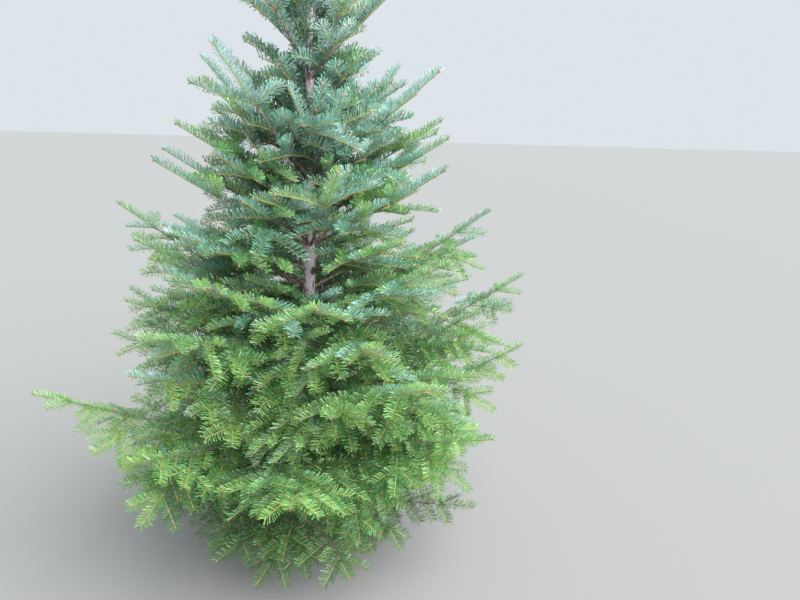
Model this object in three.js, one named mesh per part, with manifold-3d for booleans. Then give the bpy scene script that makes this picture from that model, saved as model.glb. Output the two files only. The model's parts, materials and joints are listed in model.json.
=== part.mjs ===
// A young fir about 2.35 m tall, grown for Christmas and rooted in the ground: a leaning, tapering
// trunk, whorls of five or four boughs, and one mass of needled twigs on the end of every bough.
// Units are millimetres, +Z is up and the origin is the centre of the flat cut at ground level.
// The front of the tree faces -Y.

import * as THREE from 'three';
import { mergeVertices } from 'three/addons/utils/BufferGeometryUtils.js';
import Module from 'manifold-3d';

const wasm = await Module();
wasm.setup();

// Driving dimensions of the trunk
const TRUNK_TOP = 1985;
const LEADER_TIP = 2350;
const BUTT_RADIUS = 31;
const TRUNK_TOP_RADIUS = 7;
const FLARE_RADIUS = 12;
const FLARE_HEIGHT = 60;
const COLLAR_SWELL = 2.2;
const COLLAR_HALF_HEIGHT = 22;
const LEAN = 45;
const LEAN_HEIGHT = 1300;
const SWEEP = 14;
const TRUNK_SIDES = 10;

// Driving dimensions of the whorls, from the lowest up. rise is the slope of the boughs where they
// leave the trunk and curl what that slope gains for each metre from the trunk.
// boughs lists each bough's heading in degrees, anticlockwise from +X, and its reach.
const WHORLS = [
  { z: 205, rise: 0.05, curl: 0.07, boughs: [[60, 560], [176, 590], [238, 460], [284, 530], [336, 610]] },
  { z: 400, rise: 0.26, curl: 0.105, boughs: [[8, 815], [100, 700], [190, 790], [258, 600], [318, 700]] },
  { z: 600, rise: 0.32, curl: 0.107, boughs: [[12, 815], [84, 700], [154, 670], [222, 600], [292, 720]] },
  { z: 835, rise: 0.43, curl: 0.12, boughs: [[14, 660], [88, 640], [158, 660], [232, 560], [300, 580]] },
  { z: 1080, rise: 0.54, curl: 0.128, boughs: [[38, 500], [122, 500], [206, 455], [277, 460], [325, 445]] },
  { z: 1285, rise: 0.76, curl: 0.114, boughs: [[45, 440], [140, 440], [238, 430], [284, 310], [330, 395]] },
  { z: 1600, rise: 0.86, curl: 0.28, boughs: [[10, 290], [120, 290], [235, 290], [300, 280]] },
  { z: 1945, rise: 1.25, curl: 0.67, boughs: [[70, 140], [160, 150], [250, 145], [340, 150]] },
];
const LIMBED_WHORLS = 4;

// Boughs and twigs
const LIMB_SHARE = 0.25;
const LIMB_SIDES = 6;
const LIMB_STEPS = 3;
const LIMB_ROOT_RADIUS = 0.013;
const LIMB_TIP_RADIUS = 0.008;
const TWIG_SIDES = 3;
const TWIG_RADIUS = 3.2;
const TWIG_TIP_RADIUS = 1.6;
const FORK_ANGLE = 50;
const SIDE_SHARE = 0.64;
const SIDE_LIFT = 0.38;
const SIDE_ROLL = 58;
const END_ROLL = 25;
const LONG_SHOOT = 270;
const OUTER_FORK = { from: 0.42, share: 0.52 };
const FORK_CLOSING = 0.6;
const STEM_NECK = 0.9;
const STEM_OVERRUN = 0.02;
const LIMBED_FIRST_FORK = 0.3;
const BARE_FIRST_FORK = 0.34;
const FORK_COUNT = 3;
const ANGLE_SPREAD = 0.12;
const LENGTH_SPREAD = 0.1;
const SEED = 1201;
const SEED_STEP = 37;
const SHORT_TRIES = [1, 0.85, 0.7, 0.55, 0.42];

// Sprays of needles
const SPRAY_WIDTH_SHARE = 0.34;
const LEAST_HALF_WIDTH = 36;
const MOST_HALF_WIDTH = 78;
const SPRAY_LIFT = 0.36;
const SPRAY_CORE = 5;
const TOOTH_PITCH = 88;
const TOOTH_SWEEP = 0.85;
const NOTCH_SHARE = 0.3;
const BARE_HEEL = 0.2;
const SPRAY_POINT = 0.4;
const SPRAY_TAPER = 0.45;
const LEAST_TEETH = 2;
const MOST_TEETH = 3;

// The leader above the last whorl
const LEADER_RADIUS = 6;
const LEADER_BARE_FOOT = 50;
const LEADER_STEM_SHARE = 0.9;
const LEADER_ROOM = 38;

// Room between neighbours
const SEAT_GAP = 0.3;
const SPACE_CLEARANCE = 5;
const GROUND_CLEARANCE = 40;
const TIDY_TOLERANCE = 0.8;

const GRID = 1e-3;
const UP = new THREE.Vector3(0, 0, 1);
const radians = THREE.MathUtils.degToRad;

// A repeatable stream of numbers from 0 to 1.
function seededStream(seed) {
  let state = seed >>> 0;
  return () => {
    state = (state + 0x6d2b79f5) >>> 0;
    let mixed = Math.imul(state ^ (state >>> 15), 1 | state);
    mixed = (mixed + Math.imul(mixed ^ (mixed >>> 7), 61 | mixed)) ^ mixed;
    return ((mixed ^ (mixed >>> 14)) >>> 0) / 4294967296;
  };
}

// Trunk

// The trunk leans towards +X in one easy curve and sweeps slightly in Y.
function trunkCentre(z) {
  const lean = LEAN * THREE.MathUtils.smoothstep(z, 0, LEAN_HEIGHT);
  return new THREE.Vector3(lean, SWEEP * Math.sin((Math.PI * z) / TRUNK_TOP), z);
}

// The radius is an even taper, plus the root flare, plus a swelling at each whorl.
function trunkRadius(z) {
  const taper = THREE.MathUtils.lerp(BUTT_RADIUS, TRUNK_TOP_RADIUS, z / TRUNK_TOP);
  const flare = FLARE_RADIUS * Math.exp(-z / FLARE_HEIGHT);
  const swell = WHORLS.reduce(
    (sum, whorl) => sum + Math.exp(-(((z - whorl.z) / COLLAR_HALF_HEIGHT) ** 2)),
    0,
  );
  return taper + flare + COLLAR_SWELL * swell;
}

// Heights of the trunk's rings: close together in the flare and at the whorls.
function trunkHeights() {
  const heights = [0, 25, 60, 120];
  for (const whorl of WHORLS) {
    heights.push(whorl.z - COLLAR_HALF_HEIGHT, whorl.z, whorl.z + COLLAR_HALF_HEIGHT);
  }
  heights.pop();
  heights.push(TRUNK_TOP);
  return heights;
}

// A cylinder's rings carried to given places: ring i has the centre, frame and radius that place(i)
// gives, so a tapering, bent limb stays one closed body.
function ringedGeometry(steps, sides, place) {
  const geometry = new THREE.CylinderGeometry(1, 1, steps, sides, steps);
  const position = geometry.attributes.position;
  for (let i = 0; i < position.count; i++) {
    const ring = place(Math.round(position.getY(i) + steps / 2));
    const point = ring.centre
      .clone()
      .addScaledVector(ring.across, position.getZ(i) * ring.radius)
      .addScaledVector(ring.over, position.getX(i) * ring.radius);
    position.setXYZ(i, point.x, point.y, point.z);
  }
  return geometry;
}

function trunkGeometry(extra) {
  const heights = trunkHeights();
  const across = new THREE.Vector3(1, 0, 0);
  const over = new THREE.Vector3(0, 1, 0);
  return ringedGeometry(heights.length - 1, TRUNK_SIDES, (i) => ({
    centre: trunkCentre(heights[i]),
    across,
    over,
    radius: trunkRadius(heights[i]) + extra,
  }));
}

// Solids

// Points are snapped to a fine grid first, so that points meant to be the same merge.
function toSolid(geometry) {
  const bare = geometry.index ? geometry.toNonIndexed() : geometry.clone();
  bare.deleteAttribute('normal');
  bare.deleteAttribute('uv');
  const coordinates = bare.attributes.position.array;
  coordinates.forEach((value, i) => (coordinates[i] = Math.round(value / GRID) * GRID));
  const merged = mergeVertices(bare, GRID);
  return new wasm.Manifold(
    new wasm.Mesh({
      numProp: 3,
      vertProperties: merged.attributes.position.array,
      triVerts: new Uint32Array(merged.index.array),
    }),
  );
}

function toGeometry(solid) {
  const mesh = solid.getMesh();
  const geometry = new THREE.BufferGeometry();
  geometry.setAttribute('position', new THREE.BufferAttribute(mesh.vertProperties, 3));
  geometry.setIndex(new THREE.BufferAttribute(mesh.triVerts, 1));
  geometry.computeVertexNormals();
  return geometry;
}

// A straight or bent twig of few sides, from one radius to another along a curve.
function limbSolid(curve, from, to, steps, sides, startRadius, endRadius) {
  return toSolid(
    ringedGeometry(steps, sides, (i) => {
      const share = i / steps;
      const t = THREE.MathUtils.lerp(from, to, share);
      const along = curve.getTangent(t);
      const across = new THREE.Vector3().crossVectors(UP, along).normalize();
      return {
        centre: curve.getPoint(t),
        across,
        over: new THREE.Vector3().crossVectors(along, across),
        radius: THREE.MathUtils.lerp(startRadius, endRadius, share),
      };
    }),
  );
}

// Boughs

// Height of a whorl's boughs above the ground, at a distance from the trunk's axis.
function boughHeight(whorl, radius) {
  return whorl.z + whorl.rise * radius + (whorl.curl * radius * radius) / 1000;
}

// The surface half-way between a whorl's boughs and those of the next whorl up.
function ceilingHeight(index, point) {
  const below = WHORLS[index];
  const above = WHORLS[index + 1];
  const centre = trunkCentre((below.z + above.z) / 2);
  const radius = Math.hypot(point.x - centre.x, point.y - centre.y);
  return (boughHeight(below, radius) + boughHeight(above, radius)) / 2;
}

// The centreline of one bough: it climbs from the trunk's axis by its whorl's slope and curl.
class BoughAxis extends THREE.Curve {
  constructor(whorl, heading, reach) {
    super();
    this.whorl = whorl;
    this.heading = heading;
    this.reach = reach;
    this.foot = trunkCentre(whorl.z);
  }

  getPoint(t, target = new THREE.Vector3()) {
    const radius = t * this.reach;
    return target.set(
      this.foot.x + radius * Math.cos(this.heading),
      this.foot.y + radius * Math.sin(this.heading),
      boughHeight(this.whorl, radius),
    );
  }
}

// The room that belongs to one bough: a sector of its whorl, between the surfaces half-way to the
// whorls above and below.
class BoughSpace {
  constructor(index, heading, rightEdge, leftEdge) {
    this.index = index;
    this.heading = heading;
    this.rightEdge = rightEdge;
    this.leftEdge = leftEdge;
    this.foot = trunkCentre(WHORLS[index].z);
  }

  holds(point) {
    const x = point.x - this.foot.x;
    const y = point.y - this.foot.y;
    const radius = Math.hypot(x, y);
    const turn = Math.atan2(y, x) - this.heading;
    const offset = Math.atan2(Math.sin(turn), Math.cos(turn));
    const inSector =
      radius * Math.sin(this.leftEdge - offset) > SPACE_CLEARANCE &&
      radius * Math.sin(offset + this.rightEdge) > SPACE_CLEARANCE;
    const axis = trunkCentre(Math.min(point.z, TRUNK_TOP));
    const keepOff = point.z > TRUNK_TOP ? LEADER_ROOM : trunkRadius(point.z);
    return (
      inSector &&
      Math.hypot(point.x - axis.x, point.y - axis.y) > keepOff + SPACE_CLEARANCE &&
      point.z > this.floor(point) + SPACE_CLEARANCE &&
      point.z < this.ceiling(point) - SPACE_CLEARANCE
    );
  }

  floor(point) {
    return this.index === 0 ? GROUND_CLEARANCE : ceilingHeight(this.index - 1, point);
  }

  ceiling(point) {
    return this.index === WHORLS.length - 1 ? Infinity : ceilingHeight(this.index, point);
  }
}

// Sprays of needles

// The corner points of a spray and the faces between them. A spray is a blade with a ridge above and
// below its twig and needles as teeth on both sides, swept forward and lifted into a shallow V.
function sprayShape(root, tip, normal) {
  const length = root.distanceTo(tip);
  const halfWidth = THREE.MathUtils.clamp(SPRAY_WIDTH_SHARE * length, LEAST_HALF_WIDTH, MOST_HALF_WIDTH);
  const along = tip.clone().sub(root).normalize();
  const side = new THREE.Vector3().crossVectors(normal, along).normalize();
  const up = new THREE.Vector3().crossVectors(along, side);
  const teeth = THREE.MathUtils.clamp(Math.round(length / TOOTH_PITCH), LEAST_TEETH, MOST_TEETH);
  const pitch = length / (BARE_HEEL + teeth + SPRAY_POINT);
  const points = [];
  const add = (distance, out, rise) =>
    points.push(
      root.clone().addScaledVector(along, distance).addScaledVector(side, out).addScaledVector(up, rise),
    ) - 1;
  const start = add(0, 0, 0);
  const end = add(length, 0, 0);
  const ridges = { 1: [], [-1]: [] };
  const notches = { 1: [], [-1]: [] };
  const needles = { 1: [], [-1]: [] };
  for (let i = 0; i <= teeth; i++) {
    const distance = (BARE_HEEL + i) * pitch;
    const narrowing = 1 - SPRAY_TAPER * (i / teeth) ** 2;
    const core = SPRAY_CORE * narrowing;
    for (const sign of [1, -1]) {
      ridges[sign].push(add(distance, 0, sign * core));
      const notch = halfWidth * NOTCH_SHARE * narrowing;
      notches[sign].push(add(distance, sign * notch, notch * SPRAY_LIFT));
      const out = halfWidth * narrowing;
      if (i < teeth) needles[sign].push(add(distance + TOOTH_SWEEP * pitch, sign * out, out * SPRAY_LIFT));
    }
  }
  return { points, faces: sprayFaces(teeth, start, end, ridges, notches, needles) };
}

// Faces run from the ridge over each needle, on both sides, above (face 1) and below (face -1).
function sprayFaces(teeth, start, end, ridges, notches, needles) {
  const faces = [];
  for (const face of [1, -1]) {
    for (const sign of [1, -1]) {
      const ridge = ridges[face];
      const notch = notches[sign];
      const needle = needles[sign];
      const add = (a, b, c) => faces.push(...(face * sign > 0 ? [a, b, c] : [a, c, b]));
      add(ridge[0], notch[0], start);
      for (let i = 0; i < teeth; i++) {
        add(ridge[i], ridge[i + 1], needle[i]);
        add(ridge[i], needle[i], notch[i]);
        add(ridge[i + 1], notch[i + 1], needle[i]);
      }
      add(ridge[teeth], end, notch[teeth]);
    }
  }
  return faces;
}

function spraySolid(shape) {
  const geometry = new THREE.BufferGeometry().setFromPoints(shape.points);
  geometry.setIndex(shape.faces);
  return toSolid(geometry);
}

// Masses of foliage

// Twigs and sprays that grow from one stem by the forking rule, kept to the space of their bough.
class FoliageMass {
  constructor(space, random) {
    this.space = space;
    this.random = random;
    this.solids = [];
  }

  vary(spread) {
    return 1 + spread * (2 * this.random() - 1);
  }

  // One shoot covered by a spray. It is tried shorter, and skipped if it still leaves the space.
  addSpray(root, direction, normal, length) {
    for (const share of SHORT_TRIES) {
      const tip = root.clone().addScaledVector(direction, length * share);
      const shape = sprayShape(root, tip, normal);
      if (shape.points.slice(1).every((point) => this.space.holds(point))) {
        this.solids.push(spraySolid(shape));
        return length * share;
      }
    }
    return 0;
  }

  // Direction of a side shoot, turned from its parent's in the plane of the frond and a little out
  // of it, and the normal of its spray, rolled about that direction.
  forked(along, normal, sign) {
    const turn = sign * radians(FORK_ANGLE * this.vary(ANGLE_SPREAD));
    const lift = SIDE_LIFT * (2 * this.random() - 1);
    const roll = radians(SIDE_ROLL) * (2 * this.random() - 1);
    const direction = along.clone().applyAxisAngle(normal, turn).addScaledVector(normal, lift).normalize();
    const side = new THREE.Vector3().crossVectors(normal, direction).normalize();
    const upright = new THREE.Vector3().crossVectors(direction, side);
    return { direction, normal: upright.applyAxisAngle(direction, roll) };
  }

  // A pair of side shoots. A long one forks again on its outer side.
  addPair(root, along, normal, length) {
    for (const sign of [1, -1]) {
      const side = this.forked(along, normal, sign);
      const grown = this.addSpray(root, side.direction, side.normal, length * this.vary(LENGTH_SPREAD));
      if (grown > LONG_SHOOT) {
        const fork = root.clone().addScaledVector(side.direction, OUTER_FORK.from * grown);
        const outer = this.forked(side.direction, side.normal, -sign);
        this.addSpray(fork, outer.direction, outer.normal, OUTER_FORK.share * grown);
      }
    }
  }

  // The whole frond: a stem with pairs of side shoots at its forks and one shoot on its end.
  addFrond(axis, from, forks) {
    const lastFork = forks[forks.length - 1];
    const stemSteps = forks.length + 1;
    this.solids.push(
      limbSolid(axis, from, lastFork + STEM_OVERRUN, stemSteps, TWIG_SIDES + 1, this.stemRadius, TWIG_RADIUS),
    );
    for (const fork of forks) {
      const root = axis.getPoint(fork);
      const along = axis.getTangent(fork);
      const normal = this.frondNormal(along);
      this.addPair(root, along, normal, SIDE_SHARE * (1 - fork) * axis.reach);
    }
    const root = axis.getPoint(lastFork);
    const reach = axis.getPoint(1).sub(root);
    const length = reach.length();
    const roll = radians(END_ROLL) * (2 * this.random() - 1);
    reach.normalize();
    this.addSpray(root, reach, this.frondNormal(reach).applyAxisAngle(reach, roll), length);
  }

  frondNormal(along) {
    const side = new THREE.Vector3().crossVectors(UP, along).normalize();
    return new THREE.Vector3().crossVectors(along, side);
  }

  union() {
    return this.solids.reduce((whole, solid) => whole.add(solid)).simplify(TIDY_TOLERANCE);
  }
}

// The tree

const bark = new THREE.MeshStandardMaterial({ color: 0x8d7f7c, roughness: 0.9, metalness: 0 });
const boughBark = new THREE.MeshStandardMaterial({ color: 0x7a6350, roughness: 0.85, metalness: 0 });
const needles = new THREE.MeshStandardMaterial({ color: 0x3f7049, roughness: 0.55, metalness: 0 });

const tree = new THREE.Group();

function addNode(name, solid, material) {
  const mesh = new THREE.Mesh(toGeometry(solid), material);
  mesh.name = name;
  tree.add(mesh);
}

// Half the angle from a bough to its neighbour, which stands the given number of places round.
function halfTurn(boughs, i, step) {
  const other = boughs[(i + step + boughs.length) % boughs.length];
  const turn = step * (other.heading - boughs[i].heading);
  return THREE.MathUtils.euclideanModulo(turn, 2 * Math.PI) / 2;
}

// Forks stand closer together towards the tip.
function forkShares(first, count) {
  return Array.from({ length: count }, (_, i) => first + (1 - first) * (1 - FORK_CLOSING ** i));
}

const trunk = toSolid(trunkGeometry(0));
const trunkSeat = toSolid(trunkGeometry(SEAT_GAP));
addNode('trunk', trunk, bark);

WHORLS.forEach((whorl, index) => {
  const random = seededStream(SEED + SEED_STEP * index);
  const boughs = whorl.boughs.map(([heading, reach]) => ({ heading: radians(heading), reach }));
  const limbed = index < LIMBED_WHORLS;
  boughs.forEach((bough, i) => {
    const axis = new BoughAxis(whorl, bough.heading, bough.reach);
    const space = new BoughSpace(index, bough.heading, halfTurn(boughs, i, -1), halfTurn(boughs, i, 1));
    const label = `whorl${index + 1}_${i + 1}`;
    const mass = new FoliageMass(space, random);
    const rootRadius = LIMB_ROOT_RADIUS * bough.reach;
    if (limbed) {
      const tipRadius = LIMB_TIP_RADIUS * bough.reach;
      const limb = limbSolid(axis, 0, LIMB_SHARE, LIMB_STEPS, LIMB_SIDES, rootRadius, tipRadius);
      addNode(`bough_${label}`, limb.subtract(trunkSeat), boughBark);
      mass.stemRadius = STEM_NECK * tipRadius;
      mass.addFrond(axis, LIMB_SHARE + SEAT_GAP / bough.reach, forkShares(LIMBED_FIRST_FORK, FORK_COUNT));
    } else {
      mass.stemRadius = rootRadius;
      const forks = Math.min(FORK_COUNT, WHORLS.length - 1 - index) || 1;
      mass.addFrond(axis, 0, forkShares(BARE_FIRST_FORK, forks));
    }
    addNode(`foliage_${label}`, mass.union().subtract(trunkSeat), needles);
  });
});

// The leader: one bare-footed shoot on the trunk's tip, with two crossed sprays of needles.
const leaderFoot = trunkCentre(TRUNK_TOP);
const leaderAxis = new THREE.LineCurve3(
  leaderFoot.clone().setZ(TRUNK_TOP + SEAT_GAP),
  leaderFoot.clone().setZ(LEADER_TIP),
);
const leaderStem = toSolid(
  ringedGeometry(1, TWIG_SIDES + 1, (i) => ({
    centre: leaderAxis.getPoint(i * LEADER_STEM_SHARE),
    across: new THREE.Vector3(1, 0, 0),
    over: new THREE.Vector3(0, 1, 0),
    radius: i ? TWIG_TIP_RADIUS : LEADER_RADIUS,
  })),
);
const sprayFoot = leaderFoot.clone().setZ(TRUNK_TOP + LEADER_BARE_FOOT);
const leader = [new THREE.Vector3(1, 0, 0), new THREE.Vector3(0, 1, 0)]
  .map((normal) => spraySolid(sprayShape(sprayFoot, leaderAxis.v2, normal)))
  .reduce((whole, spray) => whole.add(spray), leaderStem);
addNode('foliage_leader', leader, needles);

export default tree;
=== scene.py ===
"""Looks of a young fir grown as a Christmas tree and rooted in level ground.

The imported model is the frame. The trunk and boughs get the relief of bark, and each foliage mass
becomes boughs, twigs, buds and flat needles, grown by the part's own forking rule and carried on to
finer twigs. Lengths are metres, +Z is up, and the front of the tree faces -Y.
"""

import json
import logging
import math
from collections.abc import Sequence
from dataclasses import dataclass, field
from enum import Enum

import bpy
import numpy as np
from mathutils import Matrix, Vector

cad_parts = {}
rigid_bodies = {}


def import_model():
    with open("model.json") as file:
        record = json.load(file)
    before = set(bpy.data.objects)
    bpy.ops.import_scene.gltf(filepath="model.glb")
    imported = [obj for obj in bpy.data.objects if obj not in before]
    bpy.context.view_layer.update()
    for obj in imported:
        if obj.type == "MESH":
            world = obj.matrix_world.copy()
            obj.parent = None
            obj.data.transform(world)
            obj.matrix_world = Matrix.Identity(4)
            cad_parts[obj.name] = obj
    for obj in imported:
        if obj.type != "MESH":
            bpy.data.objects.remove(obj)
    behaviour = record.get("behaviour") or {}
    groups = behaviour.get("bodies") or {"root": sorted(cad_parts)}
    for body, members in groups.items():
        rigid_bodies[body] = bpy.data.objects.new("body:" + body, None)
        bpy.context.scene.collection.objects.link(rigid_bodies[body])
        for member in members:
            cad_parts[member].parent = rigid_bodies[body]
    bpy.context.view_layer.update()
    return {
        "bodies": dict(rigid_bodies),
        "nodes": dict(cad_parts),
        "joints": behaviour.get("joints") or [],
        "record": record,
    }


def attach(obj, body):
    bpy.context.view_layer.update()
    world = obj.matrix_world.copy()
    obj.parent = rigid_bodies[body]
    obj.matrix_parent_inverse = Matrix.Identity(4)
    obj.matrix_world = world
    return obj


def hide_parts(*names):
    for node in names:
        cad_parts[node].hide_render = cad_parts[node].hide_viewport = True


LOG = logging.getLogger("fir")
BODY = "root"
UP = np.array([0.0, 0.0, 1.0])
FRONT = np.array([0.0, -1.0, 0.0])
CAMERA_PLACE = (0.0, -1.93, 1.5)
Colour = tuple[float, float, float]
# The least length that a vector is divided by, and the rows of a noise lattice beyond its last point
SHORTEST = 1e-9
SPARE_ROWS = 3


# Vectors and noise


def unit(vectors: np.ndarray) -> np.ndarray:
    """Vectors along the last axis, scaled to length one."""
    return vectors / np.maximum(np.linalg.norm(vectors, axis=-1, keepdims=True), SHORTEST)


def upright(ups: np.ndarray, along: np.ndarray) -> np.ndarray:
    """Unit vectors square to the unit vectors along: U - T (U.T), scaled to length one."""
    return unit(ups - along * np.sum(ups * along, axis=-1, keepdims=True))


def turned(vector: np.ndarray, axis: np.ndarray, angle: float) -> np.ndarray:
    """A vector turned about a unit axis: v cos a + (k x v) sin a + k (k.v)(1 - cos a)."""
    cosine, sine = math.cos(angle), math.sin(angle)
    return vector * cosine + np.cross(axis, vector) * sine + axis * np.dot(axis, vector) * (1 - cosine)


def ring(over: np.ndarray, along: np.ndarray, sides: int) -> np.ndarray:
    """Unit vectors round rings: cos a U + sin a S, where S = T x U and a goes once round.

    Args:
        over: Unit vectors U, square to along.
        along: Unit vectors T along the rings' axes.
        sides: Vectors in each ring.

    Returns:
        Vectors, with an axis for the sides before the last.
    """
    turn = 2 * np.pi * np.arange(sides) / sides
    across = np.cross(along, over)
    return over[..., None, :] * np.cos(turn)[:, None] + across[..., None, :] * np.sin(turn)[:, None]


def smoothstep(values: np.ndarray) -> np.ndarray:
    """Eases values from 0 to 1: 3v^2 - 2v^3 of the values held between 0 and 1."""
    held = np.clip(values, 0.0, 1.0)
    return held * held * (3.0 - 2.0 * held)


@dataclass(frozen=True)
class Lattice:
    """Smooth noise on a surface that closes on itself, from a lattice with around steps round it.

    Along the surface, its steps are step apart.
    """

    around: int
    seed: int
    step: float = 1.0

    def noise(self, u: np.ndarray, v: np.ndarray) -> np.ndarray:
        """A point's noise is the smoothstep blend of random numbers on the four lattice points round it.

        Args:
            u: Place round the surface, from 0 to 1.
            v: Place along the surface, from 0 up.

        Returns:
            Values from -1 to 1, of the shape of u and v together.
        """
        u, v = np.broadcast_arrays(u * self.around, v / self.step)
        rows = int(v.max()) + SPARE_ROWS
        table = np.random.default_rng(self.seed).uniform(-1.0, 1.0, (rows, self.around))
        column, row = np.floor(u).astype(int), np.floor(v).astype(int)
        across, along = smoothstep(u - column), smoothstep(v - row)
        left, right = column % self.around, (column + 1) % self.around
        low = table[row, left] * (1 - across) + table[row, right] * across
        high = table[row + 1, left] * (1 - across) + table[row + 1, right] * across
        return low * (1 - along) + high * along


# Shaders


class Value:
    """One output socket of a number, on which arithmetic adds Math nodes."""

    def __init__(self, shader: "Shader", socket: bpy.types.NodeSocket) -> None:
        """Keeps the shader and the socket."""
        self.shader = shader
        self.socket = socket

    def _math(self, operation: str, first: "Value | float", second: "Value | float") -> "Value":
        """The result of one Math node."""
        node = self.shader.add("ShaderNodeMath", {"operation": operation}, {0: first, 1: second})
        return Value(self.shader, node.outputs[0])

    def __add__(self, other: "Value | float") -> "Value":
        """This value plus another."""
        return self._math("ADD", self, other)

    def __radd__(self, other: float) -> "Value":
        """A number plus this value."""
        return self._math("ADD", other, self)

    def __mul__(self, other: "Value | float") -> "Value":
        """This value times another."""
        return self._math("MULTIPLY", self, other)

    def __rmul__(self, other: float) -> "Value":
        """A number times this value."""
        return self._math("MULTIPLY", other, self)


@dataclass(frozen=True)
class Grain:
    """Smooth noise in a finish: waves a metre, octaves, and how much it is squeezed along the height."""

    waves: float
    octaves: float
    squeeze: float = 1.0


class Shader:
    """One material's node tree, built from its surface shader back."""

    def __init__(self, name: str) -> None:
        """Makes a material with a bare surface shader.

        Args:
            name: The material's name.
        """
        self.material = bpy.data.materials.new(name)
        self.material.use_nodes = True
        self.tree = self.material.node_tree
        self.tree.nodes.clear()
        self.surface = self.add("ShaderNodeBsdfPrincipled", {}, {})
        self.add("ShaderNodeOutputMaterial", {}, {0: self.surface.outputs[0]})

    def add(self, kind: str, settings: dict, inputs: dict) -> bpy.types.Node:
        """Adds a node, sets it up, then fills its sockets.

        Args:
            kind: Node type.
            settings: Properties by name. "stops" holds a colour ramp's (place, colour) pairs.
            inputs: Values, sockets or constants by socket name or index.

        Returns:
            The node.
        """
        node = self.tree.nodes.new(kind)
        for key, value in settings.items():
            if key == "stops":
                self._set_stops(node.color_ramp, value)
            else:
                setattr(node, key, value)
        for key, value in inputs.items():
            self._fill(node.inputs[key], value)
        return node

    def _fill(self, socket: bpy.types.NodeSocket, value: object) -> None:
        """Links a value or socket to an input, or sets a constant on it.

        Args:
            socket: The input.
            value: What goes into it.
        """
        source = value.socket if isinstance(value, Value) else value
        if isinstance(source, bpy.types.NodeSocket):
            self.tree.links.new(source, socket)
        else:
            socket.default_value = source

    @staticmethod
    def _set_stops(ramp: bpy.types.ColorRamp, stops: Sequence[tuple[float, Colour]]) -> None:
        """Gives a ramp its stops.

        Args:
            ramp: The ramp.
            stops: Places and colours, in rising order.
        """
        while len(ramp.elements) < len(stops):
            ramp.elements.new(1.0)
        for element, (place, colour) in zip(ramp.elements, stops):
            element.position = place
            element.color = (*colour, 1.0)

    def place(self) -> bpy.types.NodeSocket:
        """Object coordinates."""
        return self.add("ShaderNodeTexCoord", {}, {}).outputs["Object"]

    def noise(self, grain: Grain) -> Value:
        """Smooth noise on Object coordinates.

        Args:
            grain: How fine it is.

        Returns:
            Noise from 0 to 1.
        """
        scale = (1.0, 1.0, grain.squeeze)
        where = self.add("ShaderNodeMapping", {}, {"Vector": self.place(), "Scale": scale}).outputs[0]
        inputs = {"Vector": where, "Scale": grain.waves, "Detail": grain.octaves}
        return Value(self, self.add("ShaderNodeTexNoise", {}, inputs).outputs[0])

    def ramp(self, value: Value, places: Sequence[float], colours: Sequence[Colour]) -> bpy.types.NodeSocket:
        """A colour by value, from colours that stand at rising places."""
        return self.add("ShaderNodeValToRGB", {"stops": tuple(zip(places, colours))}, {0: value}).outputs[0]

    def bump(self, height: Value, strength: float, depth: float) -> bpy.types.NodeSocket:
        """Normals tilted by a height."""
        inputs = {"Height": height, "Strength": strength, "Distance": depth}
        return self.add("ShaderNodeBump", {}, inputs).outputs[0]

    def finish(self, **sockets: object) -> bpy.types.Material:
        """Fills the surface shader's sockets, named with underscores for spaces.

        Args:
            **sockets: Values, sockets or constants.

        Returns:
            The material.
        """
        for name, value in sockets.items():
            self._fill(self.surface.inputs[name.replace("_", " ")], value)
        return self.material


# Finishes


@dataclass(frozen=True)
class PlainFinish:
    """One colour and gloss, for the floor and for needles, whose colours are dealt out by spray."""

    name: str
    colour: Colour
    roughness: float
    specular: float

    def make(self) -> bpy.types.Material:
        """Makes the material."""
        colour = (*self.colour, 1.0)
        return Shader(self.name).finish(
            Base_Color=colour, Roughness=self.roughness, Specular_IOR_Level=self.specular
        )


@dataclass(frozen=True)
class TrunkFinish:
    """Smooth pale bark with a lilac cast, brown patches and fine cross wrinkles, browner low down."""

    name: str = "fir_trunk_bark"
    brown: Colour = (0.30, 0.14, 0.15)
    grey: Colour = (0.89, 0.68, 0.80)
    pale: Colour = (0.98, 0.86, 0.95)
    places: tuple[float, ...] = (0.44, 0.47, 0.53)
    low_crack: Colour = (0.085, 0.060, 0.048)
    low: Colour = (0.260, 0.200, 0.160)
    low_places: tuple[float, ...] = (0.36, 0.56)
    patches: Grain = Grain(62.0, 5.0, 0.30)
    wrinkles: Grain = Grain(90.0, 4.0, 6.0)
    low_grain: Grain = Grain(190.0, 4.0, 0.30)
    patch_share: float = 0.80
    wrinkle_share: float = 0.20
    low_height: float = 0.9
    low_share: float = 0.94
    bump_strength: float = 0.4
    bump_depth: float = 0.0008
    roughness: float = 0.78
    rough_patches: float = 0.12

    def make(self) -> bpy.types.Material:
        """Makes the material. The low bark's share falls with height by smoothstep.

        Returns:
            The material.
        """
        shader = Shader(self.name)
        patches = shader.noise(self.patches)
        wrinkles = shader.noise(self.wrinkles)
        mottle = self.patch_share * patches + self.wrinkle_share * wrinkles
        bark = shader.ramp(mottle, self.places, (self.brown, self.grey, self.pale))
        low_bark = shader.ramp(shader.noise(self.low_grain), self.low_places, (self.low_crack, self.low))
        height = shader.add("ShaderNodeSeparateXYZ", {}, {0: shader.place()}).outputs["Z"]
        low = shader.add(
            "ShaderNodeMapRange",
            {"clamp": True, "interpolation_type": "SMOOTHSTEP"},
            {"Value": height, "From Max": self.low_height, "To Min": self.low_share, "To Max": 0.0},
        )
        blend = shader.add(
            "ShaderNodeMix", {"data_type": "RGBA"}, {"Factor": low.outputs[0], "A": bark, "B": low_bark}
        )
        return shader.finish(
            Base_Color=blend.outputs["Result"],
            Roughness=self.roughness + self.rough_patches * patches,
            Normal=shader.bump(wrinkles, self.bump_strength, self.bump_depth),
        )


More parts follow.
